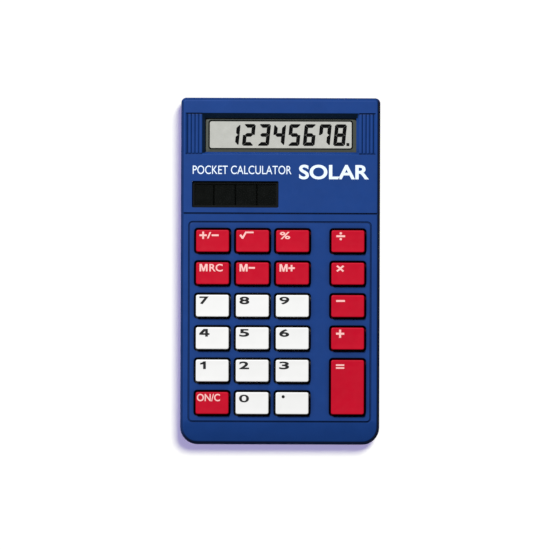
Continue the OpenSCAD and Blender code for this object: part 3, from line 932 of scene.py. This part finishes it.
def legend(name, x, y):
    """Outlines of one key's legend, and its characters with their box or None. The upper left corner
    of the cap is at x, y."""
    m = letter_m(x + 1.2, y - 0.56, 2.75, 2.54)
    outlines = {
        "sign": [plus(x + 1.15, y - 0.6, 2.5, 0.62), moved(SLASH, x, y),
            bar(x + 5.3, x + 7.7, y - 2.15, y - 1.55)],
        "root": [moved(TICK, x, y)],
        "divide": [bar(x + 1.65, x + 4.65, y - 2.35, y - 1.7), circle(x + 3.15, y - 1.05, 0.42, 16),
            circle(x + 3.15, y - 3.0, 0.42, 16)],
        "multiply": [cross(x + 1.65, y - 0.85, 2.7, 2.3, 0.7)],
        "minus": [bar(x + 1.65, x + 4.65, y - 2.3, y - 1.65)],
        "plus": [plus(x + 1.65, y - 0.68, 2.8, 0.7)],
        "equals": [bar(x + 1.65, x + 4.5, y - 2.0, y - 1.46), bar(x + 1.65, x + 4.5, y - 2.98, y - 2.44)],
        "decimal": [circle(x + 2.6, y - 1.5, 0.52, 20)],
        "m_minus": [m, bar(x + 4.3, x + 6.45, y - 2.15, y - 1.55)],
        "m_plus": [m, plus(x + 4.2, y - 0.8, 2.2, 0.62)],
        "mrc": [m],
        "1": [moved(ONE, x + 1.2, y - 0.6)],
        "4": [moved(SLOPE_OF_FOUR, x + 1.2, y - 0.6), bar(x + 3.23, x + 4.1, y - 3.2, y - 0.6),
            bar(x + 4.13, x + 4.65, y - 2.6, y - 2.06)],
    }
    words = {
        "mrc": ("RC", (x + 4.55, x + 9.1, y - 3.15, y - 0.54)),
        "on_clear": ("ON/C", (x + 0.45, x + 8.35, y - 3.15, y - 0.6)),
        "percent": ("%", (x + 1.3, x + 4.8, y - 3.1, y - 0.6)),
    }
    if name in outlines or name in words:
        return outlines.get(name), words.get(name)
    wide = 3.15 if name == "7" else 3.35
    drop = 0.85 if name == "0" else 0.6
    return None, (name, (x + 1.2, x + 1.2 + wide, y - drop - 2.6, y - drop))


PRINT_WEIGHT = {"key_0": 0.014, "key_3": 0.022, "key_9": 0.018}


def key_legend(node):
    """Print on a key cap, which rides with it."""
    x, y, hw, hl = key_place(node)
    top = cad(node)[1].z
    ink = INK_BLACK if node in WHITE_KEYS else INK_PALE
    name = node[4:]
    outlines, characters = legend(name, x - hw, y + hl)
    z = top - 0.07
    if outlines:
        put(shapes(f"print_{name}", outlines, z, ink, 0.075), node)
    if characters:
        weight = PRINT_WEIGHT.get(node, 0.026 if node in WHITE_KEYS else 0.02)
        put(lettering(f"letters_{name}", *characters, z, ink, weight, 0.075), node)


# ---------- display ----------

VIEW_LOW, VIEW_HIGH = (-24.25, 42.1), (24.25, 51.2)
DIGIT_W, DIGIT_H, DIGIT_STROKE, DIGIT_GAP = 4.05, 7.45, 1.28, 0.018
DIGIT_PITCH = 5.2
DIGIT_SLANT = math.tan(math.radians(5.5))
LAST_DIGIT_X, DIGIT_Y = 20.3, 46.6
LIT = {"1": "bc", "2": "abged", "3": "abgcd", "4": "fgbc", "5": "afgcd", "6": "afgecd", "7": "fabc",
    "8": "abcdefg"}


def corners(low, high, inset=0.0):
    """Low and high corners (x, y) of a rectangle, drawn in on all sides."""
    return (low[0] + inset, low[1] + inset), (high[0] - inset, high[1] - inset)


def print_and_shade_frame(name, material, outer, inner, r, inner_r, z0, z1, inner_z=None):
    """Frame between two rounded rectangles, whose top slopes from z1 to inner_z if that is given. It draws
    print and painted shade.
    """
    skin = Skin()
    outer = rounded(*spread(*outer), r, 5)
    inner = rounded(*spread(*inner), inner_r, 5)
    rings = [skin.ring(outer, z0), skin.ring(outer, z1)]
    rings += [skin.ring(inner, inner_z or z1), skin.ring(inner, z0)]
    skin.strip(skin.stack(rings), rings[0])
    return skin.build(name, material, 20)


def segments():
    """Outlines of the seven segments of a digit, from its lower left corner."""
    w, h, t, g = DIGIT_W, DIGIT_H, DIGIT_STROKE, DIGIT_GAP
    m = h / 2
    c = 0.5
    left_up = [(0, m + g), (t / 2, m + g), (t, m + t / 2 + g), (t, h - t - g), (c / 2, h - c / 2 - g),
        (0, h - c - g)]
    bars = {
        "a": [(c + g, h), (c / 2 + g, h - c / 2), (t + g, h - t), (w - t - g, h - t),
            (w - c / 2 - g, h - c / 2), (w - c - g, h)],
        "g": [(t / 2 + g, m), (t + g, m - t / 2), (w - t - g, m - t / 2), (w - t / 2 - g, m),
            (w - t - g, m + t / 2), (t + g, m + t / 2)],
        "f": left_up,
        "b": [(w - x, y) for x, y in left_up],
        "e": [(x, h - y) for x, y in left_up],
        "c": [(w - x, h - y) for x, y in left_up],
    }
    bars["d"] = [(x, h - y) for x, y in bars["a"]]
    return bars


def display_digits():
    """The eight digits and the decimal point."""
    bars = segments()
    outlines = []
    for i, digit in enumerate("12345678"):
        x0 = LAST_DIGIT_X - DIGIT_PITCH * (7 - i) - DIGIT_W / 2
        y0 = DIGIT_Y - DIGIT_H / 2
        for bar_name in LIT[digit]:
            outlines.append([(x0 + x + (y - DIGIT_H / 2) * DIGIT_SLANT, y0 + y) for x, y in bars[bar_name]])
    x = LAST_DIGIT_X + DIGIT_PITCH / 2 - 0.4
    outlines.append(bar(x, x + 1.0, DIGIT_Y - DIGIT_H / 2, DIGIT_Y - DIGIT_H / 2 + 1.05))
    return put(shapes("display_digits", outlines, FILM_TOP - 0.01, SEGMENT, 0.03), "case")


def display():
    """Lens with the border printed on it and a dark ring of painted shade inside the border, the sheets of
    the display and its digits.
    """
    lens = slab("lens", LENS, LENS_LOW, LENS_HIGH, 0.8, 0.1, 5)
    put(lens, "case", "lens_plastic", "display_lens")
    z = LENS_LOW.z
    line = 0.48
    put(print_and_shade_frame("lens_border", BORDER_INK, corners(LENS_LOW, LENS_HIGH, 0.6),
        corners(VIEW_LOW, VIEW_HIGH, -line), 0.5, 0.9, z - 0.05, z + 0.05, z + 0.75), "case")
    # Painted shade: a dark ring where the border's inner edge lies in shadow.
    put(print_and_shade_frame("lens_edge_shade", LENS_SHADE_PAINT, corners(VIEW_LOW, VIEW_HIGH, -line - 0.05),
        (VIEW_LOW, VIEW_HIGH), 0.9, 0.6, z - 0.12, z - 0.08), "case")
    layers = [("front_film", FILM, "lcd_front_polarizer", "polarizer_film", 0.02),
        ("front_glass", GLASS, "lcd_front_glass", "display_glass", 0.05),
        ("rear_glass", GLASS, "lcd_rear_glass", "display_glass", 0.05)]
    for name, material, node, slot_name, bevel in layers:
        low, high = cad(node)
        put(slab(name, material, low, high, 0.1, bevel, 2), "case", slot_name, node)
    display_digits()


# ---------- power ----------


def solar():
    """Solar window with a dark rim of painted shade round its edges, and the cell below it with its four
    strips.
    """
    window = slab("sun_window", WINDOW, WINDOW_LOW, WINDOW_HIGH, 0.4, 0.12, 4)
    put(window, "case", "window_plastic", "solar_window")
    low, high = cad("solar_cell")
    strip_z = high.z - 0.03
    base = slab("cell_base", CELL_LINE, low, (high.x, high.y, strip_z), 0.3, 0.05)
    put(base, "case", "cell_glass", "solar_cell")
    gap = 0.5
    x0, y0, z = WINDOW_LOW
    x1, y1, _ = WINDOW_HIGH
    pitch = (x1 - x0) / 4
    outlines = [bar(x0 + i * pitch + gap / 2, x0 + (i + 1) * pitch - gap / 2, y0, y1) for i in range(4)]
    put(shapes("cell_strips", outlines, strip_z, CELL, 0.03), "case", "cell_glass")
    put(print_and_shade_frame("window_rim", WINDOW_EDGE_SHADE, corners(WINDOW_LOW, WINDOW_HIGH, 0.1),
        corners(WINDOW_LOW, WINDOW_HIGH, 0.75), 0.3, 0.2, z - 0.005, z + 0.015), "case")


# ---------- keyboard mat ----------

DOME_R, DOME_TOP = 3.2, 5.5


def mat_web():
    """Sheet of the key mat, with a hole under each dome and one round each screw post."""
    skin = Skin()
    _, cy, hw, hl = spread(MAT_LOW, MAT_HIGH)
    holes = [(*key_place(n)[:2], 2.75) for n in KEYS]
    holes += [(*CASE_SCREWS[2], 3.4), (*BOARD_SCREWS[2], 2.0), (*BOARD_SCREWS[3], 2.0)]
    edge = rounded(0, cy, hw, hl, 1, 4)
    low, high = skin.ring(edge, MAT_LOW.z), skin.ring(edge, WEB_TOP)
    skin.strip(low, high)
    below = [skin.ring(circle(*hole), MAT_LOW.z) for hole in holes]
    above = [skin.ring(circle(*hole), WEB_TOP) for hole in holes]
    for a, b in zip(below, above):
        skin.strip(a, b)
    skin.fill(low, below)
    skin.fill(high, above)
    return put(skin.build("mat_web", SILICONE), "case", "mat_silicone", "key_mat")


def dome(node):
    """Rubber dome of one key, and its contact pill."""
    x, y, _, _ = key_place(node)
    top = DOME_TOP - KEY_TRAVEL
    profile = [(DOME_R, WEB_TOP), (DOME_R - 0.1, WEB_TOP + 0.12), (2.2, DOME_TOP - 0.55),
        (2.1, DOME_TOP - 0.45), (2.1, DOME_TOP - 0.1), (2.0, DOME_TOP), (0.02, DOME_TOP)]
    under = [(DOME_R - 0.45, WEB_TOP), (1.75, top - 0.02), (1.6, top), (0.02, top)]
    skin = Skin()

    def disc(radius):
        return circle(x, y, radius)

    outer = skin.rings(disc, profile)
    inner = skin.rings(disc, under)
    skin.face(skin.stack(outer))
    skin.face(skin.stack(inner))
    skin.strip(outer[0], inner[0])
    piece = put(skin.build(f"dome_{node[4:]}", SILICONE), "case", "mat_silicone", "key_mat")
    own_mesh(piece)

    pill = Skin()
    rings = pill.rings(disc, [(1.4, top - 0.44), (1.5, top - 0.34), (1.5, top - 0.1), (1.4, top)])
    pill.stack(rings)
    pill.face(rings[0])
    pill.face(rings[-1])
    put(pill.build(f"pill_{node[4:]}", RUBBER), node, "black_rubber", "contact_pills")


# ---------- inside the casing ----------


def board_print():
    """Carbon contacts of the keys, printed on the board."""
    contacts = [circle(*key_place(node)[:2], 2.2) for node in KEYS]
    put(shapes("key_contacts", contacts, MAT_LOW.z, CARBON, 0.03), "case")


def finish_cad(node, material, bevel):
    """Material and softened edges for a CAD node that is shown as it is."""
    piece = frame["nodes"][node]
    piece.data.materials.clear()
    piece.data.materials.append(material)
    rounding = piece.modifiers.new("softened", "BEVEL")
    rounding.width = bevel * MM
    rounding.segments = 2
    rounding.limit_method = "ANGLE"
    rounding.angle_limit = math.radians(35)
    piece.data.set_sharp_from_angle(angle=math.radians(35))


def insides():
    """Looks of the parts inside the casing, which keep their CAD shapes, and the screws."""
    board_print()
    finishes = {"case_screws": STEEL, "board_screws": STEEL, "lcd_reflector": BACKING,
        "lcd_frame": BLACK_PLASTIC, "zebra_strip": RUBBER, "circuit_board": LAMINATE, "chip_cover": EPOXY,
        "storage_capacitor": SLEEVE, "ceramic_capacitors": CERAMIC, "clamp_diode": DIODE,
        "solar_lead_red": RED_WIRE, "solar_lead_black": BLACK_WIRE}
    for node, material in finishes.items():
        finish_cad(node, material, 0.03 if node == "lcd_reflector" else 0.08)


# ---------- print on the face ----------


def face_print():
    """Generic words in the place of the maker's print above the display."""
    words = [("words_left", "POCKET CALCULATOR", (-30.0, 3.7, 33.1, 36.0), 0.0),
        ("words_right", "SOLAR", (6.3, 30.2, 31.4, 36.4), 0.025)]
    for name, text, box, weight in words:
        put(lettering(name, text, box, FACE_Z - 0.01, INK_WHITE, weight, 0.022), "case")


# ---------- studio ----------


def lamp(kind, name, at, strength, colour, size, receivers):
    """Lamp aimed at the origin, which lights only the things in a collection."""
    data = bpy.data.lights.new(name, kind)
    data.energy = strength
    data.color = colour
    if kind == "SUN":
        data.angle = math.radians(size)
    else:
        data.shape = "DISK"
        data.size = size
    made = add(name, data)
    made.location = at
    made.rotation_euler = (Vector() - Vector(at)).to_track_quat("-Z", "Y").to_euler()
    made.light_linking.receiver_collection = receivers
    return made


def floor():
    mesh = bpy.data.meshes.new("floor")
    half = 1.5
    corners = [(-half, -half, 0), (half, -half, 0), (half, half, 0), (-half, half, 0)]
    mesh.from_pydata(corners, [], [(0, 1, 2, 3)])
    mesh.materials.append(Shade("floor_paper", (0.8, 0.8, 0.8, 1), 0.9, specular=0.0).material)
    piece = add("floor", mesh)
    piece.visible_diffuse = False
    piece.visible_glossy = False
    piece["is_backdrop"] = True
    return piece


def studio():
    """Floor, sky and lamps. The floor, the object and the display each have lamps of their own."""
    scene = bpy.context.scene
    scene.view_settings.view_transform = "Standard"
    ground = floor()
    for_floor = bpy.data.collections.new("lit_floor")
    for_floor.objects.link(ground)
    for_object = bpy.data.collections.new("lit_object")
    for_display = bpy.data.collections.new("lit_display")
    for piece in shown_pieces():
        display_part = piece.name in ("lens_edge_shade", "front_film", "display_digits")
        (for_display if display_part else for_object).objects.link(piece)

    world = bpy.data.worlds.new("sky")
    world.use_nodes = True
    sky = world.node_tree.nodes["Background"]
    sky.inputs["Color"].default_value = (1, 1, 1, 1)
    sky.inputs["Strength"].default_value = 0.1
    scene.world = world

    lamp("SUN", "floor_sun", (0.35, 0.62, 1.0), 3.45, (0.955, 1.0, 0.64), 19, for_floor)
    ambient = lamp("SUN", "floor_ambient", (0, 0, 1), 2.02, (0.595, 0.53, 1.0), 20, for_floor)
    ambient.data.use_shadow = False
    lamp("AREA", "key_light", (-0.36, 0.70, 0.91), 21.0, (1, 1, 1), 0.32, for_object)
    lamp("SUN", "display_light", (0, 0, 1), 3.2, (1, 1, 1), 8, for_display)


def camera():
    """Looks straight down on the face, with a long lens."""
    distance = 1.5
    field = 0.18785
    data = bpy.data.cameras.new("camera")
    data.sensor_width = 36
    data.lens = 36 * distance / field
    made = add("camera", data)
    made.location = (-1.79 * MM, -1.31 * MM, distance + FACE_Z * MM)
    made.rotation_euler = (0, 0, math.radians(0.2))
    bpy.context.scene.camera = made


front_shell()
rear_shell()
for key_node in KEYS:
    key_cap(key_node)
    key_legend(key_node)
    dome(key_node)
display()
solar()
mat_web()
insides()
face_print()
studio()
camera()
